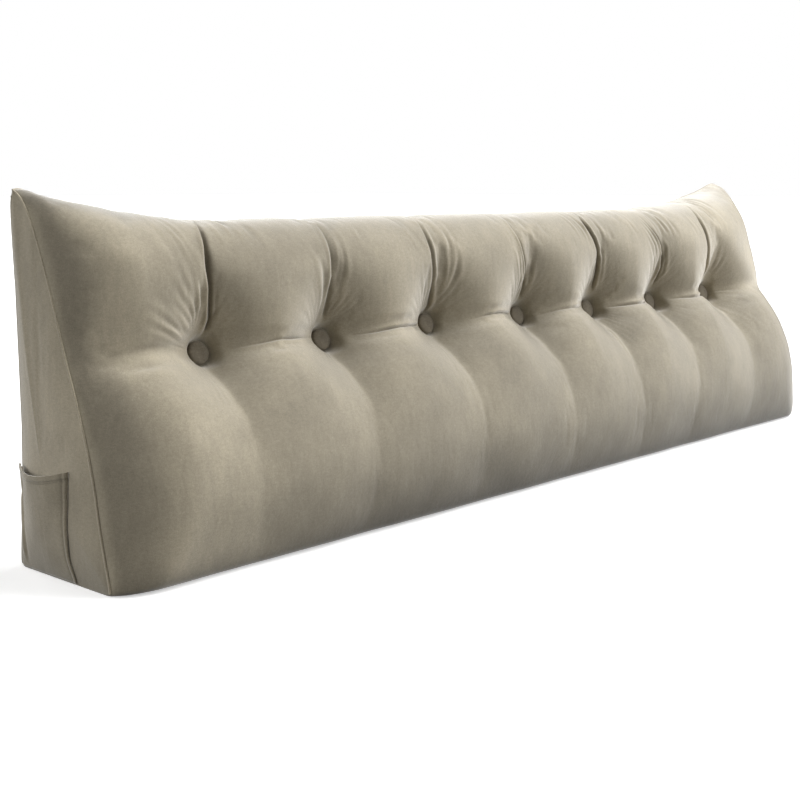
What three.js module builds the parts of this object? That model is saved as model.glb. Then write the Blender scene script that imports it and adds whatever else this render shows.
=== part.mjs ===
// Headboard reading pillow: a long wedge cushion with a tufted front.
// Millimetres, +Z up. X runs along the pillow, the front faces -Y, the flat back +Y, and it stands on its flat base at z = 0.
import * as THREE from "three";
import { mergeVertices } from "three/addons/utils/BufferGeometryUtils.js";

// ---- Driving dimensions ----
const LENGTH = 1800; // between the two end seams
const HALF = LENGTH / 2;
const BACK_Y = 105; // the flat back panel, in front of which everything lies
const BASE_BACK_Y = 93; // where the base panel leaves the floor at the back
const FRAME_X = 9; // moves the origin to the middle of the whole part's box
const FRAME_Y = 26;

const BUTTON_DIAMETER = 34;
const BUTTON_HEIGHT = 9.5;
const BUTTON_TILT = (20 * Math.PI) / 180; // how far a button's face looks up
const SEAT_RADIUS = 23; // the flattened cloth under a button
const SEAT_GAP = 1.0;
const SEAT_SLOPE = 1.5; // how steeply the cloth rises round a button

// A channel's two sides: how far each reaches from the button, how steeply the right one falls at first, and what
// share of the left one is straight.
const CHANNEL = { right: { reach: 120, power: 2.2 }, left: { reach: 128, straight: 0.45 } };
const END_LOBE = -4; // how much further out the cloth stands beyond the outer buttons, above their row
const EDGE_ROUND = 130; // how far in from an end seam the front reaches its full crown
// How far in from each end the top edge climbs to its ear, how steeply, and how much the tip is blunted over what reach.
const EAR = {
  left: { width: 330, power: 1.65, blunt: 6, reach: 18 },
  right: { width: 520, power: 1.4, blunt: 9, reach: 34 },
};
const END_CROWN = 7; // how far the end panels stand out at their middle
const END_CENTRE = { y: 38, z: 140, x: HALF - 4 };

const POCKET = {
  front: -22, // its stitched front edge
  back: 92, // its edge in the back seam
  bottom: 3,
  corner: 147, // height of the mouth at its front corner
  backCorner: 142,
  dip: 8, // how far the mouth hangs down between them
  slack: 15, // how far the mouth stands off the end panel
  cloth: 2,
  hem: 10, // depth of the turned hem at the mouth
  hemCloth: 3,
  gap: 0.9,
};

// The buttons were tied by hand, so the steps between them and their heights differ a little.
// x is the bottom of the button's channel above and below it, at where the button itself sits, z its height, and
// drift how far the channel has wandered sideways by the time it reaches the belly.
const BUTTONS = [
  { name: "button_1", x: -684, at: -680.4, z: 274.7, drift: -9 },
  { name: "button_2", x: -452, at: -447.4, z: 273.2, drift: -34 },
  { name: "button_3", x: -214, at: -210.5, z: 279.2, drift: -12 },
  { name: "button_4", x: 25, at: 31.4, z: 274.1, drift: -2 },
  { name: "button_5", x: 239, at: 246.6, z: 271.5, drift: 3 },
  { name: "button_6", x: 453, at: 462.1, z: 270.6, drift: -46 },
  { name: "button_7", x: 664, at: 670.6, z: 275.6, drift: -18 },
];
const BUTTON_ROW = 9; // the row of PROFILE that the buttons sit on
const SEAT_Y = -6;

// The front panel's outline, from the foot on the floor, round the belly and the upper roll, to the top back seam:
// [y, z] through a button's channel, on the crest between two channels, and along the end seam,
// and drawIn, how far the stuffing pulls the end seam inwards there.
const PROFILE = [
  { at: "foot", channel: [-99, 0], crest: [-100, 0], end: [-88, 0], drawIn: 0 },
  { at: "toe", channel: [-119, 1], crest: [-120, 1], end: [-98, 1], drawIn: 0 },
  { at: "toe roll", channel: [-132, 8], crest: [-133.5, 8], end: [-101, 8], drawIn: 0 },
  { at: "low front", channel: [-143, 42], crest: [-145.5, 42], end: [-92, 40], drawIn: 1 },
  { at: "belly", channel: [-149, 96], crest: [-151.5, 97], end: [-79, 85], drawIn: 3 },
  { at: "belly top", channel: [-140, 148], crest: [-146.5, 150.5], end: [-68, 130], drawIn: 5 },
  { at: "shoulder", channel: [-118.5, 191], crest: [-133, 197], end: [-54, 173], drawIn: 7 },
  { at: "under row", channel: [-81, 227], crest: [-110, 239.5], end: [-40, 212], drawIn: 8 },
  { at: "low wall", channel: [-37, 254], crest: [-82, 268], end: [-27, 247], drawIn: 8 },
  { at: "button row", channel: [SEAT_Y, 277], crest: [-57, 289], end: [-14, 280], drawIn: 8 },
  { at: "high wall", channel: [-15, 308], crest: [-59, 315.5], end: [-3, 312], drawIn: 8 },
  { at: "roll foot", channel: [-33, 345], crest: [-61, 350], end: [10, 350], drawIn: 8 },
  { at: "roll front", channel: [-44, 386], crest: [-57, 388.5], end: [26, 390], drawIn: 9 },
  { at: "roll high", channel: [-38, 420], crest: [-41.5, 421.5], end: [44, 430], drawIn: 10 },
  { at: "crown front", channel: [-10, 446], crest: [-11.5, 447.5], end: [60, 465], drawIn: 10 },
  { at: "crown", channel: [30, 453], crest: [30, 455], end: [76, 490], drawIn: 10 },
  { at: "crown back", channel: [72, 443], crest: [72, 445], end: [88, 501], drawIn: 9 },
  { at: "top seam", channel: [97, 424], crest: [97, 426], end: [94, 504], drawIn: 8 },
];
// Rows between those of PROFILE at which the skin is cut into facets: close together round the buttons.
const FRONT_STEPS = [
  0, 1, 2, 3, 4, 5, 6, 6.6, 7.2, 7.7, 8.05, 8.35, 8.6, 8.85, 9.1, 9.35, 9.65, 9.95, 10.35, 11, 12, 13, 14, 14.6, 15.3, 16, 17,
];
// The back panel, from the top seam down: share of the seam's height there, and how far in front of BACK_Y it lies.
const BACK_ROWS = [
  { share: 0.965, inset: 2.5 },
  { share: 0.9, inset: 0 },
  { share: 0.7, inset: 0 },
  { share: 0.45, inset: 0 },
  { share: 0.2, inset: 0 },
  { share: 0.06, inset: 0 },
];
const BACK_FOOT = [
  { z: 13, inset: 2 },
  { z: 4, inset: 5.5 },
];
const BASE_STEPS = [0, 0.3, 0.65]; // across the base from the back to the foot of the front
// Steps away from a button, and in from an end seam, at which the skin is cut.
const BUTTON_STEPS = [-52, -30, -19, -9.5, 0, 9.5, 19, 30, 52];
const END_STEPS = [0, 3, 9, 20, 38, 64, 98, 140];

// ---- Helpers ----
const clamp01 = (v) => Math.min(1, Math.max(0, v));
const smooth = (a, b, v) => {
  const s = clamp01((v - a) / (b - a));
  return s * s * (3 - 2 * s);
};
const mix = (a, b, s) => a + (b - a) * s;

// The row of PROFILE at t, which may lie between two rows: a smooth curve through the table.
function profileAt(t) {
  const last = PROFILE.length - 1;
  const i = Math.min(last - 1, Math.max(0, Math.floor(t))),
    f = t - i;
  const row = (k) => PROFILE[Math.min(last, Math.max(0, i + k))];
  const through = (pick) => {
    const [a, b, c, d] = [row(-1), row(0), row(1), row(2)].map(pick);
    return 0.5 * (2 * b + (c - a) * f + (2 * a - 5 * b + 4 * c - d) * f * f + (3 * b - a - 3 * c + d) * f ** 3);
  };
  return {
    channel: [through((r) => r.channel[0]), through((r) => r.channel[1])],
    crest: [through((r) => r.crest[0]), through((r) => r.crest[1])],
    end: [through((r) => r.end[0]), through((r) => r.end[1])],
    drawIn: through((r) => r.drawIn),
  };
}

// 1 in a button's channel, falling to 0 on the crests beside it.
function channelDepth(x) {
  return Math.max(
    ...BUTTONS.map((b) => {
      const side = x > b.x ? CHANNEL.right : CHANNEL.left;
      const away = Math.min(1, Math.abs(x - b.x) / side.reach);
      const s = Math.sqrt(away * away + 0.0025) - 0.05 * (1 - away);
      if (side.power) return clamp01(1 - s) ** side.power;
      const k = 2 / (1 + side.straight);
      return clamp01(s < side.straight ? 1 - k * s : ((0.5 * k) / (1 - side.straight)) * clamp01(1 - s) ** 2);
    }),
  );
}

// A column of BUTTONS, such as drift, at x, which may lie between two buttons.
function atButtons(x, pick) {
  const i = BUTTONS.findIndex((b) => b.x >= x);
  if (i < 0) return pick(BUTTONS[BUTTONS.length - 1]);
  if (i === 0) return pick(BUTTONS[0]);
  const [a, b] = [BUTTONS[i - 1], BUTTONS[i]];
  return mix(pick(a), pick(b), (x - a.x) / (b.x - a.x));
}

// The right end was filled harder, so its seam is hardly drawn in.
const drawnIn = (x, d, pull) => x - Math.sign(x) * pull * (x > 0 ? 0.15 : 1) * (1 - smooth(0, 110, d));

// A point of the front panel at length x and row t.
function frontPoint(x, t) {
  const row = profileAt(t);
  const wander = atButtons(x, (b) => b.drift) * (1 - smooth(1.5, 6.5, t));
  const toButton = atButtons(x, (b) => b.at - b.x) * Math.exp(-(((t - BUTTON_ROW) / 1.6) ** 2));
  const depth = channelDepth(x - wander - toButton);
  const d = Math.max(0, HALF - Math.abs(x));
  const low = 1 - smooth(2.5, 8, t),
    toe = 1 - smooth(1.5, 4, t),
    upper = smooth(9.5, 12, t) * (x > 0 ? 1 : -0.35);
  const round = EDGE_ROUND - 25 * low - 50 * toe + 70 * upper;
  const bulge = (1 - (1 - clamp01(d / round)) ** 2) ** (0.8 - 0.22 * low);
  const ear = x > 0 ? EAR.right : EAR.left;
  const climb = 1 - (1 - clamp01(d / mix(EDGE_ROUND, ear.width, smooth(11, 16, t)))) ** ear.power;
  const beyond = Math.max(x - BUTTONS[BUTTONS.length - 1].x, BUTTONS[0].x - x);
  const plump = END_LOBE * smooth(8.5, 10, t) * (1 - smooth(11.5, 13, t)) * smooth(20, 110, beyond);
  const tip = x > 0 ? EAR.right : EAR.left;
  const blunt = smooth(13, 15.5, t) * tip.blunt * (1 - clamp01(d / tip.reach)) ** 2;
  const p = new THREE.Vector3(
    drawnIn(x, d, row.drawIn),
    mix(row.end[0], mix(row.crest[0] - plump, row.channel[0], depth), bulge),
    Math.max(0, mix(row.end[1], mix(row.crest[1], row.channel[1], depth), climb) - blunt),
  );
  // Each button presses the cloth flat beneath it.
  for (const b of BUTTONS) {
    const n = buttonNormal(),
      from = p.clone().sub(new THREE.Vector3(b.at, SEAT_Y, b.z));
    const h = from.dot(n),
      r = Math.sqrt(Math.max(0, from.lengthSq() - h * h));
    if (r > 70) continue;
    const most = -SEAT_GAP + SEAT_SLOPE * Math.max(0, r - SEAT_RADIUS);
    if (h > most) p.addScaledVector(n, most - h);
  }
  return p;
}

function buttonNormal() {
  return new THREE.Vector3(0, -Math.cos(BUTTON_TILT), Math.sin(BUTTON_TILT));
}

// How far forward the back panel's side edge lies at height z.
const backEdge = (z) => mix(100, 94.5, smooth(0, 110, z)) + 3 * smooth(380, 450, z) * (1 - smooth(480, 504, z));

// One closed outline of the cushion across its length.
function outline(x) {
  const d = Math.max(0, HALF - Math.abs(x));
  const atEnd = 1 - smooth(0, 90, d);
  const front = FRONT_STEPS.map((t) => frontPoint(x, t));
  const top = front[front.length - 1];
  const backY = (z, inset) => mix(BACK_Y - inset, Math.min(backEdge(z), BACK_Y - inset), atEnd);
  const pull = (z) => drawnIn(x, d, 6.5 * smooth(0, 200, z) + 1.5 * smooth(470, 504, z));
  const back = BACK_ROWS.map((r) => {
    const z = top.z * r.share;
    return new THREE.Vector3(pull(z), backY(z, r.inset), z);
  });
  const foot = BACK_FOOT.map((r) => new THREE.Vector3(pull(r.z), backY(r.z, r.inset), r.z));
  const base = BASE_STEPS.map((s) => new THREE.Vector3(x, mix(BASE_BACK_Y, front[0].y, s), 0));
  return [...front, ...back, ...foot, ...base];
}

// ---- Cushion ----
function stations() {
  const xs = [];
  for (const b of BUTTONS) for (const s of BUTTON_STEPS) xs.push(b.at + s);
  for (let i = 1; i < BUTTONS.length; i++) {
    const a = BUTTONS[i - 1].at + 52,
      b = BUTTONS[i].at - 52,
      steps = 4;
    for (let k = 1; k < steps; k++) xs.push(mix(a, b, k / steps));
  }
  for (const s of END_STEPS) xs.push(-HALF + s, HALF - s);
  return xs.sort((a, b) => a - b);
}

// A point of an end panel: ring 0 is the seam, 1 the middle, crowned outwards between them.
function endPoint(edge, ring) {
  const side = Math.sign(edge.x);
  return new THREE.Vector3(
    mix(edge.x, side * END_CENTRE.x, ring) + side * END_CROWN * (1 - (1 - ring) ** 2),
    mix(edge.y, END_CENTRE.y, ring),
    mix(edge.z, END_CENTRE.z, ring),
  );
}

const END_RINGS = [0.12, 0.3, 0.52, 0.76];

function cushionGeometry() {
  const rows = stations().map(outline),
    round = rows[0].length;
  const points = rows.flat(),
    faces = [];
  const quad = (a, b, c, d) => faces.push(a, b, c, a, c, d);
  for (let i = 0; i + 1 < rows.length; i++)
    for (let j = 0; j < round; j++) {
      const k = (j + 1) % round;
      quad(i * round + j, (i + 1) * round + j, (i + 1) * round + k, i * round + k);
    }
  for (const [first, flip] of [
    [0, false],
    [(rows.length - 1) * round, true],
  ]) {
    let inner = Array.from({ length: round }, (_, j) => first + j);
    const edge = inner.map((j) => points[j]);
    for (const ring of END_RINGS) {
      const next = edge.map((p) => points.push(endPoint(p, ring)) - 1);
      for (let j = 0; j < round; j++) {
        const k = (j + 1) % round;
        if (flip) quad(inner[j], next[j], next[k], inner[k]);
        else quad(inner[j], inner[k], next[k], next[j]);
      }
      inner = next;
    }
    const centre = points.push(endPoint(edge[0], 1)) - 1;
    for (let j = 0; j < round; j++) {
      const k = (j + 1) % round;
      if (flip) faces.push(inner[j], centre, inner[k]);
      else faces.push(inner[j], inner[k], centre);
    }
  }
  return closed(points, faces);
}

// A geometry from points and triangles, with its faces looking outwards.
function closed(points, faces) {
  let volume = 0;
  for (let i = 0; i < faces.length; i += 3)
    volume += points[faces[i]].dot(points[faces[i + 1]].clone().cross(points[faces[i + 2]]));
  if (volume < 0) for (let i = 0; i < faces.length; i += 3) [faces[i + 1], faces[i + 2]] = [faces[i + 2], faces[i + 1]];
  const g = new THREE.BufferGeometry();
  g.setAttribute("position", new THREE.Float32BufferAttribute(points.flatMap((p) => [p.x, p.y, p.z]), 3));
  g.setIndex(faces);
  const merged = mergeVertices(g, 1e-3);
  merged.computeVertexNormals();
  return merged;
}

// ---- Buttons: a domed shell covered with the same cloth ----
function buttonGeometry() {
  const R = BUTTON_DIAMETER / 2,
    H = BUTTON_HEIGHT;
  const half = [
    { r: 0, h: 0 },
    { r: R - 3.5, h: 0 },
    { r: R - 0.6, h: 1.6 },
    { r: R, h: 4.2 },
    { r: R - 1.5, h: 6.6 },
    { r: R * 0.62, h: H - 0.9 },
    { r: 0, h: H },
  ].map((p) => new THREE.Vector2(p.r, p.h));
  return new THREE.LatheGeometry(half, 20); // its axis is local Y
}

// ---- Side pocket: one sheet, sewn down on three sides, its mouth standing open ----
// The end panel's outer face at y, z, on the left end: how far it lies from the middle of the pillow.
function endFace(y, z, edge) {
  const c = END_CENTRE,
    dir = Math.atan2(z - c.z, y - c.y),
    dist = Math.hypot(z - c.z, y - c.y);
  let best = null;
  edge.forEach((p, j) => {
    const q = edge[(j + 1) % edge.length];
    const a = [p.y - c.y, p.z - c.z],
      b = [q.y - c.y, q.z - c.z];
    const ux = Math.cos(dir),
      uz = Math.sin(dir);
    const den = (b[0] - a[0]) * uz - (b[1] - a[1]) * ux;
    if (Math.abs(den) < 1e-9) return;
    const s = (a[1] * ux - a[0] * uz) / den;
    if (s < -1e-6 || s > 1 + 1e-6) return;
    const hit = [mix(a[0], b[0], s), mix(a[1], b[1], s)];
    const r = hit[0] * ux + hit[1] * uz;
    if (r > 0) best = { r, x: mix(p.x, q.x, s) };
  });
  const ring = clamp01(1 - dist / best.r);
  return mix(Math.abs(best.x), c.x, ring) + END_CROWN * (1 - (1 - ring) ** 2);
}

function pocketGeometry() {
  const P = POCKET,
    edge = outline(-HALF);
  const across = Array.from({ length: 11 }, (_, i) => i / 10);
  const up = [0, 0.12, 0.27, 0.44, 0.6, 0.74, 0.85, 0.925, 0.945, 1];
  const points = [],
    faces = [];
  const grid = { inner: [], outer: [] };
  for (const side of ["inner", "outer"])
    for (const w of up)
      for (const u of across) {
        const mouth = mix(P.corner, P.backCorner, u) - P.dip * Math.sin(Math.PI * u);
        const z = mix(P.bottom, mouth, w),
          y = mix(P.front, P.back, u);
        const lift = P.gap + P.slack * Math.sin(Math.PI * u) ** 0.6 * w ** 0.75;
        const cloth = z > mouth - P.hem ? P.hemCloth : P.cloth;
        const off = endFace(y, z, edge) + lift + (side === "outer" ? cloth : 0);
        grid[side].push(points.push(new THREE.Vector3(-off, y, z)) - 1);
      }
  const n = across.length,
    m = up.length;
  const at = (side, j, i) => grid[side][j * n + i];
  const quad = (a, b, c, d) => faces.push(a, b, c, a, c, d);
  for (let j = 0; j + 1 < m; j++)
    for (let i = 0; i + 1 < n; i++) {
      quad(at("outer", j, i), at("outer", j + 1, i), at("outer", j + 1, i + 1), at("outer", j, i + 1));
      quad(at("inner", j, i), at("inner", j, i + 1), at("inner", j + 1, i + 1), at("inner", j + 1, i));
    }
  for (let i = 0; i + 1 < n; i++) {
    quad(at("inner", 0, i), at("outer", 0, i), at("outer", 0, i + 1), at("inner", 0, i + 1));
    quad(at("inner", m - 1, i), at("inner", m - 1, i + 1), at("outer", m - 1, i + 1), at("outer", m - 1, i));
  }
  for (let j = 0; j + 1 < m; j++) {
    quad(at("inner", j, 0), at("inner", j + 1, 0), at("outer", j + 1, 0), at("outer", j, 0));
    quad(at("inner", j, n - 1), at("outer", j, n - 1), at("outer", j + 1, n - 1), at("inner", j + 1, n - 1));
  }
  return closed(points, faces);
}

// ---- The pillow ----
const cloth = (name, colour, roughness = 0.9) => {
  const m = new THREE.MeshStandardMaterial({ color: colour, roughness, metalness: 0 });
  m.name = name;
  return m;
};
const pillow = new THREE.Group();
pillow.position.set(FRAME_X, FRAME_Y, 0);

const cushion = new THREE.Mesh(cushionGeometry(), cloth("cover velvet", 0xa59d8b));
cushion.name = "cushion";
pillow.add(cushion);

for (const b of BUTTONS) {
  const button = new THREE.Mesh(buttonGeometry(), cloth("button velvet", 0x7a7261));
  button.name = b.name;
  button.position.set(b.at, SEAT_Y, b.z);
  button.quaternion.setFromUnitVectors(new THREE.Vector3(0, 1, 0), buttonNormal());
  pillow.add(button);
}

const pocket = new THREE.Mesh(pocketGeometry(), cloth("pocket velvet", 0x8f8775));
pocket.name = "side_pocket";
pillow.add(pocket);

export default pillow;
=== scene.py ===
import math

import bpy
import numpy as np
from mathutils import Matrix, Vector


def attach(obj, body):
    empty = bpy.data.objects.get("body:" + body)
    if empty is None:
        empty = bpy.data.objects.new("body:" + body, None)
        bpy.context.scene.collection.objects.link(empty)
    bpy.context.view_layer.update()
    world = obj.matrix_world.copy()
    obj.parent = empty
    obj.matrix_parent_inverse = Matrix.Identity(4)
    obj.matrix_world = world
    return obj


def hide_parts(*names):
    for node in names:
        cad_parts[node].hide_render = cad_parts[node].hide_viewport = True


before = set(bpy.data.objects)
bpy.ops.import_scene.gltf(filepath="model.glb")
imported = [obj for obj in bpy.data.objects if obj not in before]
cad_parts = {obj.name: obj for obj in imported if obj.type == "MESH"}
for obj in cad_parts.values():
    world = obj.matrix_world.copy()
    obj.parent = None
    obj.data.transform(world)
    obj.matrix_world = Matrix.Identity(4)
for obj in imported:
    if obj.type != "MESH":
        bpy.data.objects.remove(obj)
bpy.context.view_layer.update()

# ---- Driving dimensions ----
HALF = 900.0  # from the middle to an end seam
FRAME_X, FRAME_Y = 9.0, 26.0  # the frame's origin is the middle of the whole part's box
BACK_Y, BASE_BACK_Y = 105.0, 93.0
CHANNEL_X = np.array([-684.0, -452.0, -214.0, 25.0, 239.0, 453.0, 664.0])  # the bottom of each channel
BUTTON_X = np.array([-680.4, -447.4, -210.5, 31.4, 246.6, 462.1, 670.6])
BUTTON_Z = np.array([274.7, 273.2, 279.2, 274.1, 271.5, 270.6, 275.6])
SEAT_Y = -6.0
BUTTON_R, BUTTON_H = 17.0, 9.5
BUTTON_TILT = math.radians(20)
BUTTON_N = np.array([0.0, -math.cos(BUTTON_TILT), math.sin(BUTTON_TILT)])
SEAT_R, SEAT_GAP, SEAT_SLOPE, SEAT_SLOPE_RIGHT, SEAT_BLEND = 17.6, -0.4, 3.2, 2.6, 2.2
CHANNEL_RIGHT, CHANNEL_LEFT = 120.0, 128.0  # how far a channel reaches to the right and to the left of its button
STRAIGHT = 0.45  # share of the left side that is straight
END_LOBE = -4.0  # how much further out the cloth stands beyond the outer buttons
EDGE_ROUND = 130.0
EAR_LEFT, EAR_RIGHT = 330.0, 520.0
END_CROWN = 7.0
END_Y, END_Z, END_X = 38.0, 140.0, HALF - 4

# The front's outline from the foot, round the belly and the upper roll, to the top back seam.
PROFILE = np.array([
    # channel y, z   crest y, z   end seam y, z   drawn in
    (-99, 0, -100, 0, -88, 0, 0),  # 0 foot
    (-119, 1, -120, 1, -98, 1, 0),
    (-132, 8, -133.5, 8, -101, 8, 0),
    (-143, 42, -145.5, 42, -92, 40, 1),
    (-149, 96, -151.5, 97, -79, 85, 3),  # 4 belly
    (-140, 148, -146.5, 150.5, -68, 130, 5),
    (-118.5, 191, -133, 197, -54, 173, 7),
    (-81, 227, -110, 239.5, -40, 212, 8),
    (-37, 254, -82, 268, -27, 247, 8),
    (-6, 277, -57, 289, -14, 280, 8),  # 9 button row
    (-15, 308, -59, 315.5, -3, 312, 8),
    (-33, 345, -61, 350, 10, 350, 8),
    (-44, 386, -57, 388.5, 26, 390, 9),
    (-38, 420, -41.5, 421.5, 44, 430, 10),
    (-10, 446, -11.5, 447.5, 60, 465, 10),
    (30, 453, 30, 455, 76, 490, 10),  # 15 crown
    (72, 443, 72, 445, 88, 501, 9),
    (97, 424, 97, 426, 94, 504, 8),  # 17 top seam
], float)
# How far each channel has wandered sideways by the time it reaches the belly.
CHANNEL_DRIFT = np.array([-9.0, -34.0, -12.0, -2.0, 3.0, -46.0, -18.0])


# ---- Helpers ----
def smooth(a, b, x):
    s = np.clip((x - a) / (b - a), 0, 1)
    return s * s * (3 - 2 * s)


def mix(a, b, s):
    return a + (b - a) * s


def catmull(table, t):
    """A smooth curve through the rows of table, at row t."""
    t = np.clip(np.asarray(t, float), 0, len(table) - 1 - 1e-9)
    i = np.floor(t).astype(int)
    f = (t - i)[..., None]
    p0, p1, p2, p3 = (table[np.clip(i + k, 0, len(table) - 1)] for k in (-1, 0, 1, 2))
    return 0.5 * (2 * p1 + (p2 - p0) * f + (2 * p0 - 5 * p1 + 4 * p2 - p3) * f**2 + (3 * p1 - p0 - 3 * p2 + p3) * f**3)


def place(p):
    """Millimetres in the pillow's frame to metres in the part's frame."""
    return (np.asarray(p, float) + (FRAME_X, FRAME_Y, 0.0)) / 1000.0


def graded(lo, hi, step_at, count=None):
    """Values from lo to hi whose spacing follows step_at."""
    s = np.linspace(lo, hi, 6001)
    load = np.concatenate([[0], np.cumsum(np.diff(s) / (0.5 * (step_at(s[1:]) + step_at(s[:-1]))))])
    n = count or int(round(load[-1])) + 1
    return np.interp(np.linspace(0, load[-1], n), load, s)


def wave(x, y, seed, scale):
    """Smooth uneven noise between about -1 and 1, from a few seeded waves."""
    r = np.random.default_rng(seed)
    out = 0.0
    for _ in range(9):
        a = r.uniform(0, math.tau)
        k = math.tau / (scale * r.uniform(0.7, 1.9))
        out = out + np.sin(k * (np.cos(a) * x + np.sin(a) * y) + r.uniform(0, math.tau))
    return out / 3.2


def mesh_object(name, verts, quads=(), tris=(), smooth_shade=True):
    mesh = bpy.data.meshes.new(name)
    faces = [tuple(map(int, f)) for f in quads] + [tuple(map(int, f)) for f in tris]
    mesh.from_pydata([tuple(map(float, v)) for v in verts], [], faces)
    mesh.update()
    ob = bpy.data.objects.new(name, mesh)
    bpy.context.scene.collection.objects.link(ob)
    if smooth_shade:
        mesh.shade_smooth()
    return ob


# ---- The front panel ----
def channel(x):
    off = x[..., None] - CHANNEL_X
    s = np.clip(np.where(off > 0, off / CHANNEL_RIGHT, -off / CHANNEL_LEFT), 0, 1)
    s = np.sqrt(s * s + 0.0025) - 0.05 * (1 - s)
    k = 2 / (1 + STRAIGHT)
    left = np.where(s < STRAIGHT, 1 - k * s, 0.5 * k / (1 - STRAIGHT) * (1 - s) ** 2)
    c = np.where(off > 0, np.clip(1 - s, 0, 1) ** 2.2, np.clip(left, 0, 1) * (s < 1))
    return np.max(c, axis=-1)


def front(x, t):
    """A point of the front panel at length x and row t, before its creases."""
    x, t = np.broadcast_arrays(np.asarray(x, float), np.asarray(t, float))
    r = catmull(PROFILE, t)
    drift = np.interp(x, CHANNEL_X, CHANNEL_DRIFT) * (1 - smooth(1.5, 6.5, t))
    drift = drift + np.interp(x, CHANNEL_X, BUTTON_X - CHANNEL_X) * np.exp(-(((t - 9) / 1.6) ** 2))
    c = channel(x - drift)
    d = np.clip(HALF - np.abs(x), 0, None)
    low = 1 - smooth(2.5, 8, t)
    toe = 1 - smooth(1.5, 4, t)
    upper = smooth(9.5, 12, t) * np.where(x > 0, 1.0, -0.35)
    bulge = (1 - (1 - np.clip(d / (EDGE_ROUND - 25 * low - 50 * toe + 70 * upper), 0, 1)) ** 2) ** (0.8 - 0.22 * low)
    w = mix(EDGE_ROUND, np.where(x > 0, EAR_RIGHT, EAR_LEFT), smooth(11, 16, t))
    climb = 1 - (1 - np.clip(d / w, 0, 1)) ** np.where(x > 0, 1.4, 1.65)
    plump = END_LOBE * smooth(8.5, 10, t) * (1 - smooth(11.5, 13, t)) * smooth(20, 110, np.maximum(x - CHANNEL_X[-1], CHANNEL_X[0] - x))
    # the ears' tips are blunt
    blunt = smooth(13, 15.5, t) * np.where(x > 0, 6.0, 6.0) * (1 - np.clip(d / np.where(x > 0, 26.0, 18.0), 0, 1)) ** 2
    blunt = blunt - smooth(13, 15.5, t) * np.where(x > 0, 5.0, 0.0) * np.exp(-(((d - 30) / 38) ** 2))
    p = np.stack([
        drawn_in(x, d, r[..., 6]),
        mix(r[..., 4], mix(r[..., 2] - plump, r[..., 0], c), bulge),
        np.maximum(0, mix(r[..., 5], mix(r[..., 3], r[..., 1], c), climb) - blunt),
    ], -1)
    return press_seats(p)


def drawn_in(x, d, pull):
    return x - np.sign(x) * pull * np.where(x > 0, 0.15, 1.0) * (1 - smooth(0, 110, d))


def press_seats(p):
    """Each button presses the cloth into a dish that rises steeply round it."""
    p = p.copy()
    for bx, bz in zip(BUTTON_X, BUTTON_Z):
        near = np.abs(p[..., 0] - bx) < 60
        q = p[near] - (bx, SEAT_Y, bz)
        h = q @ BUTTON_N
        r = np.sqrt(np.maximum(0, (q * q).sum(-1) - h * h))
        to_right = 0.5 + 0.5 * np.clip(q[:, 0] / np.maximum(r, 1), -1, 1)
        slope = mix(SEAT_SLOPE, SEAT_SLOPE_RIGHT, smooth(0.3, 0.9, to_right))
        most = -SEAT_GAP + slope * np.maximum(0, r - SEAT_R)
        over = (h - most) / SEAT_BLEND
        soft = np.where(over > 12, over, np.log1p(np.exp(np.clip(over, -30, 12))))
        move = -SEAT_BLEND * soft * (1 - smooth(26, mix(42, 46, to_right), r))
        p[near] += move[..., None] * BUTTON_N
    return p


def normals(p):
    n = np.cross(np.gradient(p, axis=0), np.gradient(p, axis=1))
    n /= np.linalg.norm(n, axis=-1, keepdims=True) + 1e-12
    return -n if np.sum(n[..., 1] * (p[..., 1] < 40)) > 0 else n


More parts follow.
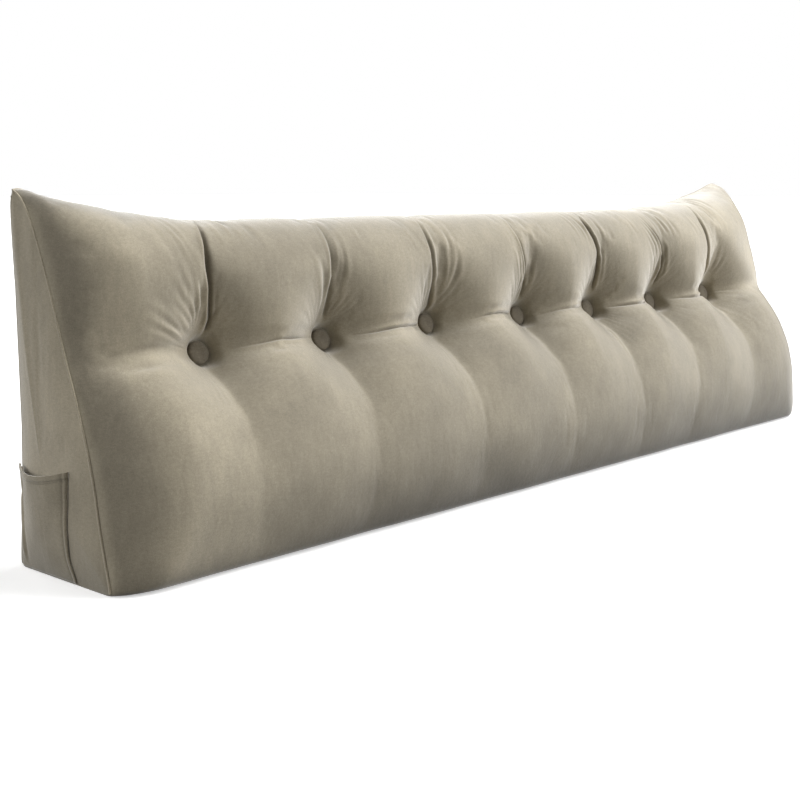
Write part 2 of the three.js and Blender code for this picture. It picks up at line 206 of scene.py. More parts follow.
# ---- Creases, placed one by one ----
# button it belongs to, depth, half width, height and side of the lip beside it, how sharp, fade at both ends (0 to 1),
# and its way over the cloth as (distance along from the button, row of PROFILE).
CREASES = [
    # the main fold above each button
    (0, 7.5, 3.0, 3.0, -1, 0.7, 0.08, 0.35, [(10, 9.75), (12, 10.34), (7, 10.9), (3, 11.5), (-1, 12.2), (0, 12.9), (5, 13.5), (12, 14.1), (24, 14.8)]),
    (0, 4.5, 6.0, 1.0, -1, 0.0, 0.40, 0.40, [(0, 11.5), (-4, 12.1), (-4, 12.7), (0, 13.3)]),
    (1, 2.8, 3.2, 1.6, -1, 0.6, 0.08, 0.45, [(8, 9.75), (4, 10.5), (0, 11.3), (-2, 12.1), (-3, 12.9), (0, 13.7), (6, 14.6)]),
    (2, 3.2, 2.8, 2.2, 1, 0.7, 0.08, 0.35, [(7, 9.75), (2, 10.4), (-9, 11.2), (-17, 11.8), (-21, 12.3), (-24, 12.9), (-22, 13.6), (-16, 14.4)]),
    (3, 3.0, 2.8, 2.0, -1, 0.7, 0.08, 0.35, [(8, 9.8), (6, 10.43), (-4, 11.1), (-15, 11.61), (-26, 12.13), (-33, 12.74), (-37, 13.4), (-34, 14.2)]),
    (4, 5.4, 2.8, 3.0, 1, 0.8, 0.08, 0.30, [(13, 9.9), (7, 10.79), (-1, 11.44), (-15, 12.12), (-26, 12.78), (-30, 13.6), (-18, 14.5)]),
    (5, 3.4, 2.8, 2.0, -1, 0.7, 0.08, 0.35, [(13, 9.8), (14, 10.5), (9, 11.3), (-4, 12.0), (-22, 12.6), (-38, 13.2), (-51, 13.9)]),
    (6, 3.6, 3.0, 2.4, 1, 0.7, 0.10, 0.35, [(-4, 9.9), (-19, 10.3), (-38, 11.1), (-47, 12.0), (-53, 13.0), (-46, 13.9), (-36, 14.6)]),
    # the fan on the left of the first button
    (0, 2.2, 3.2, 1.2, -1, 0.5, 0.20, 0.55, [(-10, 10.3), (-34, 10.85), (-68, 11.65)]),
    (0, 2.2, 3.2, 1.2, -1, 0.5, 0.20, 0.55, [(-9, 10.5), (-28, 11.2), (-47, 11.75)]),
    (0, 2.4, 3.0, 1.2, -1, 0.5, 0.20, 0.55, [(-5, 10.9), (-15, 11.5), (-25, 12.05)]),
    (0, 2.0, 3.2, 1.1, -1, 0.5, 0.20, 0.60, [(-12, 10.1), (-40, 10.6), (-78, 11.25)]),
    (0, 1.5, 3.6, 0.8, -1, 0.4, 0.25, 0.65, [(-16, 9.85), (-56, 10.2), (-108, 11.0)]),
    (0, 2.4, 2.7, 1.6, -1, 0.6, 0.20, 0.40, [(12, 10.1), (9, 10.9), (3, 11.8)]),
    (0, 2.0, 2.7, 1.3, -1, 0.6, 0.25, 0.50, [(18, 10.2), (14, 11.0), (9, 11.8)]),
    # short upright ones that the top seam makes; a negative depth is a ridge
    (0, 3.4, 5.0, 1.2, 1, 0.3, 0.35, 0.40, [(64, 15.2), (60, 14.5), (63, 13.8)]),
    (0, -1.7, 3.6, 0.0, 1, 0.3, 0.45, 0.50, [(65, 14.2), (69, 13.6), (69, 12.9)]),
    (0, -1.3, 3.8, 0.0, 1, 0.3, 0.45, 0.50, [(32, 14.5), (31, 13.7), (33, 12.9)]),
    (0, -1.2, 3.8, 0.0, 1, 0.3, 0.45, 0.50, [(50, 14.4), (52, 13.8), (51, 13.2)]),
    (0, -1.5, 4.2, 0.0, 1, 0.3, 0.45, 0.50, [(96, 14.7), (101, 13.7), (106, 12.7)]),
    (0, 1.5, 4.2, 0.5, 1, 0.3, 0.45, 0.50, [(86, 14.5), (88, 13.8), (92, 13.1)]),
    # beside the other buttons' main folds
    (1, 2.4, 6.0, 1.0, -1, 0.2, 0.30, 0.50, [(-6, 10.5), (-14, 11.2), (-24, 11.95), (-37, 12.95)]),
    (1, 1.1, 3.4, 0.8, 1, 0.4, 0.25, 0.50, [(10, 10.2), (17, 11.4), (20, 12.8), (17, 14.0)]),
    (1, -1.3, 3.6, 0.0, 1, 0.4, 0.30, 0.50, [(6, 11.4), (9, 12.6), (9, 13.9)]),
    (1, 1.3, 3.6, 0.8, 1, 0.3, 0.50, 0.50, [(69, 13.8), (65, 12.9)]),
    (2, -1.7, 3.2, 0.0, 1, 0.4, 0.25, 0.40, [(17, 10.3), (17, 11.3), (13, 12.2), (11, 13.0)]),
    (2, 1.8, 4.0, 0.8, -1, 0.2, 0.35, 0.40, [(19, 12.0), (22, 12.7), (21, 13.6)]),
    (2, -1.6, 3.2, 0.0, 1, 0.4, 0.25, 0.45, [(19, 10.4), (24, 11.2), (29, 11.9), (31, 12.6)]),
    (2, 1.6, 4.0, 0.8, 1, 0.3, 0.35, 0.45, [(27, 10.7), (35, 11.6), (37, 12.5)]),
    (3, -2.2, 3.2, 0.0, 1, 0.4, 0.25, 0.45, [(-6, 10.4), (-18, 11.0), (-32, 11.6), (-43, 12.6)]),
    (3, -1.5, 3.4, 0.0, 1, 0.4, 0.30, 0.55, [(-17, 10.6), (-42, 11.5), (-58, 12.6)]),
    (3, 1.3, 3.4, 0.9, 1, 0.4, 0.25, 0.50, [(12, 10.3), (9, 11.2), (6, 12.1)]),
    (4, 1.6, 3.0, 1.2, 1, 0.6, 0.20, 0.40, [(18, 10.1), (14, 10.7), (7, 11.5), (-3, 12.3)]),
    (4, 1.8, 3.2, 1.0, 1, 0.4, 0.40, 0.50, [(10, 12.2), (4, 13.2), (6, 14.2)]),
    (4, -1.5, 3.4, 0.0, 1, 0.4, 0.35, 0.50, [(-40, 13.9), (-42, 13.1), (-38, 12.4)]),
    (5, 1.2, 3.0, 0.9, -1, 0.5, 0.25, 0.45, [(-10, 10.9), (-29, 11.75), (-49, 12.5), (-65, 13.3)]),
    (5, 1.1, 3.0, 0.8, -1, 0.5, 0.25, 0.45, [(-8, 11.5), (-24, 12.1), (-44, 12.9), (-57, 13.7)]),
    (5, 1.0, 3.0, 0.7, -1, 0.5, 0.25, 0.50, [(-16, 10.7), (-42, 11.5), (-66, 12.6)]),
    (5, 1.5, 3.0, 1.0, 1, 0.6, 0.20, 0.45, [(20, 10.2), (19, 10.9), (11, 11.7), (-4, 12.5)]),
    (6, -1.7, 3.4, 0.0, 1, 0.4, 0.30, 0.50, [(-8, 10.4), (-24, 11.2), (-33, 12.1), (-40, 13.2)]),
    (6, 1.5, 3.2, 1.0, 1, 0.5, 0.25, 0.50, [(8, 10.3), (11, 11.0), (12, 11.9)]),
    (6, 1.3, 3.2, 0.9, 1, 0.5, 0.25, 0.50, [(13, 10.1), (23, 10.8), (32, 11.6)]),
    # below the buttons
    (4, -1.6, 5.0, 0.0, 1, 0.3, 0.30, 0.50, [(3, 8.1), (3, 7.1), (-6, 6.0), (-17, 5.4)]),
    (6, -1.2, 5.0, 0.0, 1, 0.3, 0.30, 0.60, [(-6, 8.0), (6, 7.2), (24, 6.3)]),
    (6, -1.0, 4.5, 0.0, 1, 0.3, 0.30, 0.60, [(2, 8.0), (20, 7.2), (44, 6.4)]),
]

# The taut line from each button to the one on its left, as CREASES. They run one after another along the row of
# buttons, so the grid's rows are bent to follow them.
TAUT = [
    (0, 2.6, 6.0, 1.0, 1, 0.3, 0.50, 0.45, [(-190, 8.95), (-138, 9.25), (-98, 9.33), (-34, 9.22)]),
    (1, 5.6, 1.8, 1.8, 1, 0.9, 0.55, 0.35, [(-195, 8.88), (-155, 8.97), (-119, 9.05), (-88, 9.04), (-37, 9.07), (-14, 9.05)]),
    (2, 5.6, 1.8, 1.6, -1, 0.9, 0.35, 0.06, [(-196, 8.86), (-163, 8.87), (-126, 8.95), (-60, 9.02), (-18, 9.06)]),
    (3, 5.6, 1.9, 2.0, -1, 0.9, 0.45, 0.08, [(-172, 8.90), (-121, 9.09), (-53, 9.12), (-18, 9.06)]),
    (4, 4.0, 2.2, 1.4, -1, 0.9, 0.50, 0.20, [(-187, 8.67), (-137, 8.89), (-60, 8.95), (-18, 9.0)]),
    (5, 7.0, 2.2, 2.0, -1, 0.9, 0.35, 0.08, [(-178, 8.69), (-134, 8.68), (-70, 8.70), (-18, 8.82)]),
    (6, 6.5, 2.2, 2.0, -1, 0.9, 0.40, 0.08, [(-168, 8.74), (-117, 8.68), (-60, 8.72), (-18, 8.86)]),
]
CREASES.append((0, 2.2, 7.0, 0.8, 1, 0.2, 0.50, 0.50, [(-165, 8.40), (-121, 8.49), (-80, 8.55)]))

# Fine pleats that run out from a button: degrees from the pillow's length, anticlockwise; millimetres from the button.
GATHERS = [
    # button, from angle, to angle, from reach, to reach, height, seed
    (0, 95, 172, 22, 150, 1.0, 1),
    (0, 8, 80, 26, 90, 0.5, 2),
    (1, 100, 165, 22, 110, 0.6, 3),
    (1, 15, 80, 26, 90, 0.5, 4),
    (2, 100, 165, 22, 120, 0.7, 5),
    (2, 20, 80, 24, 110, 0.7, 6),
    (3, 100, 165, 22, 120, 0.8, 7),
    (3, 20, 80, 24, 100, 0.6, 8),
    (4, 100, 170, 22, 120, 0.8, 9),
    (4, 15, 80, 24, 120, 0.5, 10),
    (5, 100, 170, 22, 130, 0.8, 11),
    (5, 15, 80, 24, 110, 0.4, 12),
    (6, 100, 170, 22, 130, 0.8, 13),
    (6, -10, 80, 24, 130, 0.5, 14),
    (0, 190, 262, 24, 120, 0.4, 15),
    (1, 195, 262, 24, 110, 0.4, 16),
    (2, 195, 262, 24, 110, 0.4, 17),
    (3, 195, 262, 24, 110, 0.4, 18),
    (4, 195, 262, 24, 120, 0.5, 19),
    (5, 195, 262, 24, 110, 0.4, 20),
    (6, 195, 262, 24, 110, 0.4, 21),
    (4, 275, 330, 26, 140, 0.25, 22),
    (5, 275, 330, 26, 130, 0.25, 23),
    (6, 275, 345, 26, 160, 0.4, 24),
]


def press_creases(p):
    """How far the front's points move along their normals for every crease of the tables."""
    out = np.zeros(p.shape[:2])
    for b, depth, width, lip, side, sharp, fade_in, fade_out, way in CREASES + TAUT:
        way = np.array(way, float)
        w = catmull(way, np.linspace(0, len(way) - 1, 24 * (len(way) - 1) + 1))
        cx, ct = CHANNEL_X[b] + w[:, 0], w[:, 1]
        curve = front(cx, ct)
        nn = np.cross(front(cx + 1, ct) - front(cx - 1, ct), front(cx, ct + 0.02) - front(cx, ct - 0.02))
        nn /= np.linalg.norm(nn, axis=1, keepdims=True)
        tangent = np.gradient(curve, axis=0)
        tangent /= np.linalg.norm(tangent, axis=1, keepdims=True)
        across = np.cross(tangent, nn)
        run = np.concatenate([[0], np.cumsum(np.linalg.norm(np.diff(curve, axis=0), axis=1))])
        run /= run[-1]
        strength = np.clip(run / max(fade_in, 1e-6), 0, 1) ** 1.2 * np.clip((1 - run) / max(fade_out, 1e-6), 0, 1) ** 1.2
        reach = width * 5 + 6
        box = np.all((p > curve.min(0) - reach) & (p < curve.max(0) + reach), axis=-1)
        q = p[box]
        dist = ((q[:, None, :] - curve[None]) ** 2).sum(-1)
        k = dist.argmin(1)
        off = q - curve[k]
        sd = (off * across[k]).sum(1)
        along = (off * tangent[k]).sum(1)
        amp = strength[k] * np.exp(-((along / 6) ** 2))
        v = np.abs(sd) / width
        fall = mix(np.exp(-v * v), np.exp(-1.3 * v), sharp)
        ridge = np.exp(-(((sd * side) / width - 2.0) / 1.3) ** 2)
        out[box] += amp * (-depth * fall + lip * ridge)
    return out


def bend_grid(x, t):
    """Stations bent to follow the fold above each button, and rows bent to follow the taut lines between them."""
    X, T = np.broadcast_arrays(x[:, None], t[None, :])
    shift = np.zeros(X.shape)
    for b in range(len(CHANNEL_X)):
        way = np.array(CREASES[FOLD_OF[b]][8], float)
        rows = np.concatenate([[8.9], way[:, 1], [16.2, 17]])
        offs = np.concatenate([[0], way[:, 0], [way[-1, 0] * 0.7, way[-1, 0] * 0.5]])
        keep = np.clip(1 - (np.abs(X - CHANNEL_X[b]) - 10) / 92, 0, 1)
        shift = shift + np.interp(T, rows, offs) * keep
    X = X + shift
    ways = np.array([(CHANNEL_X[c[0]] + u, v) for c in TAUT for u, v in c[8]])
    T = T + (np.interp(X, ways[:, 0], ways[:, 1]) - LINE_ROW) * smooth(7.6, 8.6, T) * (1 - smooth(9.3, 10.6, T))
    return X, T


FOLD_OF = [0, 2, 3, 4, 5, 6, 7]  # which of CREASES is the main fold of each button
LINE_ROW = 8.95


def gathers(x, v):
    """Height of the fine pleats at length x and height v over the row of buttons, both along the cloth."""
    out = 0 * (x + v)
    for b, a0, a1, r0, r1, height, seed in GATHERS:
        rng = np.random.default_rng(100 + seed)
        u = x - CHANNEL_X[b]
        r = np.hypot(u, v)
        a = (np.degrees(np.arctan2(v, u)) - a0 + 90) % 360 + a0 - 90
        window = smooth(a0 - 6, a0 + 8, a) * (1 - smooth(a1 - 8, a1 + 6, a))
        window = window * smooth(r0, r0 + 14, r) * (1 - smooth(r0 + 0.35 * (r1 - r0), r1, r))
        pleats = 0.0
        for _ in range(5):
            k = rng.uniform(18, 44)
            sway = rng.uniform(-0.25, 0.25)
            part = 0.5 + 0.5 * np.sin(r / rng.uniform(14, 30) + rng.uniform(0, 6) + np.radians(a) * rng.uniform(1, 5))
            pleats = pleats + part * np.sin(np.radians(a) * k + sway * r / 10 + rng.uniform(0, 6))
        out = out + height * window * pleats / 2.2
    return out


def streaks(x, v):
    """Fine upright creases that the tight top seam draws into the roll, between and right of the folds."""
    skew = x + 0.22 * v
    fine = wave(skew, 0.13 * v, 31, 11) + 0.6 * wave(skew, 0.2 * v, 32, 19)
    place_at = np.clip(0.35 + 0.65 * wave(x, 0.3 * v, 33, 120), 0, 1)
    return mix(0.5, 1.0, smooth(0, 500, x)) * fine * place_at


# ---- How the filled cloth settles: a coarse sheet, held at its seams and buttons and blown up from behind ----
SETTLE_FRAMES, SETTLE_MOST = 20, 2.2


def blur(a, times):
    for _ in range(times):
        a = np.pad(a, 1, mode="edge")
        a = (a[:-2] + 2 * a[1:-1] + a[2:]) / 4
        a = (a[:, :-2] + 2 * a[:, 1:-1] + a[:, 2:]) / 4
    return a


def settle(X, T):
    """The small folds and hollows, along the normals, that a cloth simulation gives the front at X, T."""
    cx = np.linspace(-HALF, HALF, 190)
    fine = np.linspace(0, 17, 2001)
    mid = catmull(PROFILE, fine)[:, 2:4]
    run = np.concatenate([[0], np.cumsum(np.linalg.norm(np.diff(mid, axis=0), axis=1))])
    ct = np.interp(np.linspace(0, run[-1], 72), run, fine)
    p = front(cx[:, None], ct[None, :])
    n = normals(p)
    idx = np.arange(p.shape[0] * p.shape[1]).reshape(p.shape[:2])
    quads = np.stack([idx[:-1, :-1], idx[1:, :-1], idx[1:, 1:], idx[:-1, 1:]], -1).reshape(-1, 4)
    sheet = mesh_object("settling", p.reshape(-1, 3) / 1000, quads)
    hold = np.zeros(p.shape[:2])
    hold[[0, 1, -2, -1]] = 1
    hold[:, [0, 1, -2, -1]] = 1
    for bx, bz in zip(BUTTON_X, BUTTON_Z):
        hold[((p - (bx, SEAT_Y, bz)) ** 2).sum(-1) < 27**2] = 1
    group = sheet.vertex_groups.new(name="held")
    group.add([int(i) for i in idx[hold > 0]], 1.0, "REPLACE")
    cloth = sheet.modifiers.new("cloth", "CLOTH")
    cs = cloth.settings
    cs.vertex_group_mass = "held"
    cs.quality = 6
    cs.mass = 0.3
    cs.tension_stiffness = cs.compression_stiffness = 12
    cs.shear_stiffness = 4
    cs.bending_stiffness = 0.3
    cs.tension_damping = cs.compression_damping = 12
    cs.use_pressure = True
    cs.uniform_pressure_force = 4.0
    cs.shrink_min = -0.015  # the panels are cut a little larger than the form they cover
    cs.effector_weights.gravity = 0.0
    cloth.collision_settings.use_collision = False
    cloth.point_cache.frame_start, cloth.point_cache.frame_end = 1, SETTLE_FRAMES
    scene = bpy.context.scene
    for f in range(1, SETTLE_FRAMES + 1):
        scene.frame_set(f)
    got = sheet.evaluated_get(bpy.context.evaluated_depsgraph_get()).data
    q = np.empty(len(got.vertices) * 3)
    got.vertices.foreach_get("co", q)
    q = q.reshape(p.shape) * 1000
    scene.frame_set(1)
    mesh = sheet.data
    bpy.data.objects.remove(sheet)
    bpy.data.meshes.remove(mesh)
    moved = ((q - p) * n).sum(-1)
    # the large swelling is in PROFILE already, so only what is finer than a lobe is kept, and no more than a little
    moved = moved - blur(moved, 60)
    moved = SETTLE_MOST * np.tanh(moved / SETTLE_MOST)
    fi, fj = np.interp(X, cx, np.arange(len(cx))), np.interp(T, ct, np.arange(len(ct)))
    i, j = np.clip(fi.astype(int), 0, len(cx) - 2), np.clip(fj.astype(int), 0, len(ct) - 2)
    a, c = fi - i, fj - j
    a, c = a * a * (3 - 2 * a), c * c * (3 - 2 * c)
    return (1 - a) * (1 - c) * moved[i, j] + a * (1 - c) * moved[i + 1, j] + (1 - a) * c * moved[i, j + 1] + a * c * moved[i + 1, j + 1]


def build_front():
    def step_x(x):
        away = np.min(np.abs(x[:, None] - CHANNEL_X), axis=1)
        d = HALF - np.abs(x)
        inner = mix(mix(1.15, 2.1, smooth(2, 8, away)), 5.4, smooth(50, 76, away))
        return np.minimum(inner, mix(1.4, 6.2, smooth(2, 60, d)))

    x = graded(-HALF, HALF, step_x)
    crest = catmull(PROFILE, np.linspace(0, 17, 6001))[:, 2:4]
    per_t = np.linalg.norm(np.diff(crest, axis=0), axis=1) / (17 / 6000)
    tt = np.linspace(0, 17, 6001)[1:]

    def step_t(t):
        mm = np.interp(t, tt, per_t)
        s = mix(7.6, 2.9, smooth(7.0, 8.4, t))
        s = mix(s, 4.3, smooth(9.6, 11.0, t))
        s = mix(s, 6.5, smooth(14.0, 15.2, t))
        s = mix(1.0, s, smooth(1.5, 7.0, np.abs(t - LINE_ROW) * mm))
        return s / mm

    t = graded(0, 17, step_t)
    X, T = bend_grid(x, t)
    p = front(X, T)
    n = normals(p)
    h = press_creases(p)
    h += settle(X, T) * smooth(0, 30, HALF - np.abs(X)) * mix(0.12, 0.6, smooth(5, 9.5, T)) * smooth(1.5, 4, T) * (1 - smooth(15.8, 17, T))
    # the filling is a little uneven everywhere
    inside = smooth(0, 60, HALF - np.abs(X)) * smooth(0.5, 3, T) * (1 - smooth(15.5, 17, T))
    seat = np.min(np.abs(X[..., None] - CHANNEL_X), axis=-1)
    calm = 1 - np.exp(-((seat / 40) ** 2 + ((T - 9) / 1.0) ** 2))
    along = np.cumsum(per_t) * 17 / 6000
    V = np.interp(T, tt, along) - np.interp(9, tt, along)
    h += inside * calm * (0.6 * wave(X, V, 3, 160) + 0.25 * wave(X, V, 5, 70))
    h += gathers(X, V)
    h += streaks(X, V) * smooth(12.2, 13.2, T) * (1 - smooth(15.2, 16.2, T)) * smooth(20, 80, HALF - np.abs(X))
    p = p + n * h[..., None]
    p = press_seats(p)
    p[..., 2] = np.maximum(p[..., 2], 0)
    return x, t, p, painted_light_and_shade(X, T, h)


def painted_light_and_shade(X, T, h):
    """Painted light and shade for the front's colour: painted shade in the creases and beside the left seam, down the
    belly to the foot, on the left of the roll and on the crown; painted highlight on the creases' lips, and painted
    light towards the right of the roll and in patches near the left end."""
    # painted shade in the creases, painted highlight on the ridges beside them
    shade = 1 + np.clip(0.08 * h, -0.36, 0.10)
    from_left = X + HALF
    # painted shade in a strip beside the left seam
    reach = mix(72, 46, smooth(7, 10, T)) + 9 * wave(X, 60 * T, 71, 150)
    left = smooth(0, 8, from_left) * (1 - smooth(0.35, 1.0, from_left / reach))
    shade = shade * (1 - 0.26 * left)
    # painted shade down the belly to the foot
    foot_left = mix(0.64, 1.08, smooth(0.6, 3.0, T)) - 0.06 * smooth(5.0, 7.5, T)
    foot_right = mix(mix(0.34, 0.87, smooth(1.4, 5.0, T)), 1.0, smooth(7.4, 9.0, T))
    shade = shade * mix(foot_left, foot_right, smooth(-860, -420, X))
    # painted shade on the belly and the roll towards the left
    shade = shade * (1 - 0.07 * smooth(-780, -640, X) * (1 - smooth(-150, 150, X)) * smooth(4.6, 6.2, T) * (1 - smooth(7.8, 9, T)))
    shade = shade * (1 - 0.14 * smooth(-835, -770, X) * (1 - smooth(-560, -300, X)) * smooth(10.4, 12, T))
    # painted light towards the right of the roll
    shade = shade * (1 + 0.14 * smooth(100, 800, X) * smooth(9.2, 11, T) + 0.10 * smooth(560, 850, X) * smooth(5, 9, T))
    # painted light in patches near the left end
    shade = shade * (1 + 0.13 * np.exp(-(((from_left - 66) / 34) ** 2)) * smooth(9.6, 11, T) * (1 - smooth(12.8, 14.0, T)))
    shade = shade * (1 + 0.13 * np.exp(-(((from_left - 95) / 62) ** 2)) * np.exp(-(((T - 9.2) / 1.4) ** 2)))
    # painted shade on the belly below the first button
    shade = shade * (1 - 0.09 * np.exp(-(((X + 650) / 75) ** 2)) * np.exp(-(((T - 5) / 1.6) ** 2)))
    # painted shade on the crown, more on the left
    return shade * mix(1.0, mix(0.70, 0.90, smooth(-500, 500, X)), smooth(14.0, 15.0, T))


# ---- The whole cushion ----
def back_edge(z):
    return mix(100, 94.5, smooth(0, 110, z)) + 3 * smooth(380, 450, z) * (1 - smooth(480, 504, z))


def build_outline(x, front_points):
    d = np.clip(HALF - np.abs(x), 0, None)
    at_end = (1 - smooth(0, 90, d))[:, None]
    top = front_points[:, -1]
    share = np.array([0.985, 0.965, 0.94, 0.91, 0.86, 0.74, 0.56, 0.38, 0.2, 0.09])
    z = top[:, None, 2] * share
    inset = np.broadcast_to(8.0 * np.clip((share - 0.9) / 0.1, 0, 1) ** 2, z.shape)
    foot_z = np.broadcast_to(np.array([17.0, 9.5, 4.0, 1.0]), (len(x), 4))
    foot_in = np.broadcast_to(np.array([1.2, 3.0, 6.0, 9.4]), (len(x), 4))
    z, inset = np.concatenate([z, foot_z], 1), np.concatenate([inset, foot_in], 1)
    y = mix(BACK_Y - inset, np.minimum(back_edge(z), BACK_Y - inset), at_end)
    y = y - 0.7 * (1 - at_end) * (1 + wave(x[:, None], z, 81, 260)) * smooth(20, 80, z) * smooth(0, 60, top[:, None, 2] - z)
    px = drawn_in(x[:, None], d[:, None], 6.5 * smooth(0, 200, z) + 1.5 * smooth(470, 504, z))
    back = np.stack([px, y, z], -1)
    s = np.array([0.0, 0.3, 0.65])
    base = np.stack([
        np.broadcast_to(x[:, None], (len(x), len(s))),
        mix(BASE_BACK_Y, front_points[:, :1, 1], s),
        np.zeros((len(x), len(s))),
    ], -1)
    return np.concatenate([front_points, back, base], 1)


def end_sway(y, z, ring):
    """The end panel isn't quite smooth; its cloth lies a little uneven, more so away from its seams."""
    return (0.45 * wave(y, 0.45 * z, 61, 75) + 0.35 * wave(y, z, 62, 34)) * smooth(0.04, 0.3, ring)


def end_point(edge, ring):
    side = np.sign(edge[..., :1])
    ring = np.asarray(ring)[..., None]
    return np.concatenate([
        mix(edge[..., :1], side * END_X, ring)
        + side * (END_CROWN * (1 - (1 - ring) ** 3) + end_sway(mix(edge[..., 1:2], END_Y, ring), mix(edge[..., 2:3], END_Z, ring), ring)),
        mix(edge[..., 1:2], END_Y, ring),
        mix(edge[..., 2:3], END_Z, ring),
    ], -1)


RINGS = [0.015, 0.035, 0.06, 0.1, 0.16, 0.25, 0.37, 0.52, 0.7, 0.87]


def build_cushion(outline):
    n, m = outline.shape[:2]
    points = [outline.reshape(-1, 3)]
    idx = np.arange(n * m).reshape(n, m)
    nxt = np.roll(idx, -1, axis=1)
    quads = [np.stack([idx[:-1], idx[1:], nxt[1:], nxt[:-1]], -1).reshape(-1, 4)]
    tris = []
    total = n * m
    for row, flip in ((0, False), (n - 1, True)):
        edge, inner = outline[row], idx[row]
        for ring in RINGS:
            points.append(end_point(edge, np.full(m, ring)))
            new = np.arange(total, total + m)
            total += m
            q = np.stack([inner, np.roll(inner, -1), np.roll(new, -1), new], -1)
            quads.append(q[:, ::-1] if flip else q)
            inner = new
        points.append(end_point(edge[:1], np.ones(1)))
        t = np.stack([inner, np.roll(inner, -1), np.full(m, total)], -1)
        tris.append(t[:, ::-1] if flip else t)
        total += 1
    return np.concatenate(points), np.concatenate(quads), np.concatenate(tris)


def outwards(verts, quads, tris=()):
    """Faces turned so that they look out of a closed form."""
    vol = 0.0
    for f in (quads, tris):
        if len(f):
            a = verts[f[:, 0]]
            for k in range(1, f.shape[1] - 1):
                vol += np.einsum("ij,ij->i", a, np.cross(verts[f[:, k]], verts[f[:, k + 1]])).sum()
    if vol < 0:
        quads, tris = quads[:, ::-1], (tris[:, ::-1] if len(tris) else tris)
    return quads, tris


# ---- Materials ----
def velvet(name, colour, grain=1.0, sheen=1.0, roughness=0.85, bump=1.0, painted_shading=None):
    """Short-nap velvet: nap that lies a little differently from place to place, fine fibres, and a pale sheen. If an
    attribute is named, the colour is multiplied by its painted light and shade.
    """
    m = bpy.data.materials.new(name)
    m.use_nodes = True
    nt = m.node_tree
    nt.nodes.clear()
    new = nt.nodes.new
    out = new("ShaderNodeOutputMaterial")
    bsdf = new("ShaderNodeBsdfPrincipled")
    nt.links.new(bsdf.outputs["BSDF"], out.inputs["Surface"])
    coord = new("ShaderNodeTexCoord")

    def noise(scale, detail, rough, stretch=(1, 1, 1)):
        mapping = new("ShaderNodeMapping")
        mapping.inputs["Scale"].default_value = stretch
        nt.links.new(coord.outputs["Object"], mapping.inputs["Vector"])
        n = new("ShaderNodeTexNoise")
        n.inputs["Scale"].default_value = scale
        n.inputs["Detail"].default_value = detail
        n.inputs["Roughness"].default_value = rough
        nt.links.new(mapping.outputs["Vector"], n.inputs["Vector"])
        return n.outputs["Fac"]

    def ramp(fac, lo, hi, a, b):
        r = new("ShaderNodeMapRange")
        r.inputs["From Min"].default_value = lo
        r.inputs["From Max"].default_value = hi
        r.inputs["To Min"].default_value = a
        r.inputs["To Max"].default_value = b
        nt.links.new(fac, r.inputs["Value"])
        return r.outputs["Result"]

    def times(a, b):
        n = new("ShaderNodeMath")
        n.operation = "MULTIPLY"
        nt.links.new(a, n.inputs[0])
        nt.links.new(b, n.inputs[1])
        return n.outputs[0]

    patches = ramp(noise(5.0, 4.0, 0.6), 0.3, 0.7, 0.93, 1.07)
    strokes = ramp(noise(26.0, 4.0, 0.6, (1.0, 1.0, 0.45)), 0.3, 0.7, 1 - 0.075 * grain, 1 + 0.075 * grain)
    nap = ramp(noise(190.0, 4.0, 0.65, (1.0, 1.0, 1.7)), 0.3, 0.7, 1 - 0.09 * grain, 1 + 0.09 * grain)
    fibres = ramp(noise(850.0, 3.0, 0.7), 0.3, 0.7, 1 - 0.15 * grain, 1 + 0.15 * grain)
    brushed = ramp(noise(110.0, 3.0, 0.6, (1.0, 1.0, 0.13)), 0.3, 0.7, 1 - 0.05 * grain, 1 + 0.05 * grain)
    shade = times(times(times(times(patches, strokes), nap), fibres), brushed)
    # multiply the colour by a mesh attribute of painted light and shade
    if painted_shading:
        painted_light_shade = new("ShaderNodeAttribute")
        painted_light_shade.attribute_name = painted_shading
        shade = times(shade, painted_light_shade.outputs["Fac"])
    tint = new("ShaderNodeVectorMath")
    tint.operation = "SCALE"
    tint.inputs[0].default_value = colour
    nt.links.new(shade, tint.inputs["Scale"])
    nt.links.new(tint.outputs["Vector"], bsdf.inputs["Base Color"])
    rough = ramp(noise(30.0, 3.0, 0.6), 0.3, 0.7, roughness - 0.05, roughness + 0.05)
    nt.links.new(rough, bsdf.inputs["Roughness"])
    bsdf.inputs["Specular IOR Level"].default_value = 0.25
    bsdf.inputs["Sheen Weight"].default_value = sheen
    bsdf.inputs["Sheen Roughness"].default_value = 0.45
    bsdf.inputs["Sheen Tint"].default_value = (1.0, 0.985, 0.955, 1.0)
    fuzz = new("ShaderNodeBump")
    fuzz.inputs["Strength"].default_value = 0.35 * bump
    fuzz.inputs["Distance"].default_value = 0.0006
    nt.links.new(noise(1100.0, 2.0, 0.6), fuzz.inputs["Height"])
    slub = new("ShaderNodeBump")
    slub.inputs["Strength"].default_value = 0.30 * bump
    slub.inputs["Distance"].default_value = 0.0012
    nt.links.new(noise(120.0, 4.0, 0.6, (1.0, 1.0, 0.6)), slub.inputs["Height"])
    nt.links.new(fuzz.outputs["Normal"], slub.inputs["Normal"])
    nt.links.new(slub.outputs["Normal"], bsdf.inputs["Normal"])
    return m


def plain(name, colour, roughness):
    m = bpy.data.materials.new(name)
    m.use_nodes = True
    b = m.node_tree.nodes["Principled BSDF"]
    b.inputs["Base Color"].default_value = (*colour, 1)
    b.inputs["Roughness"].default_value = roughness
    return m


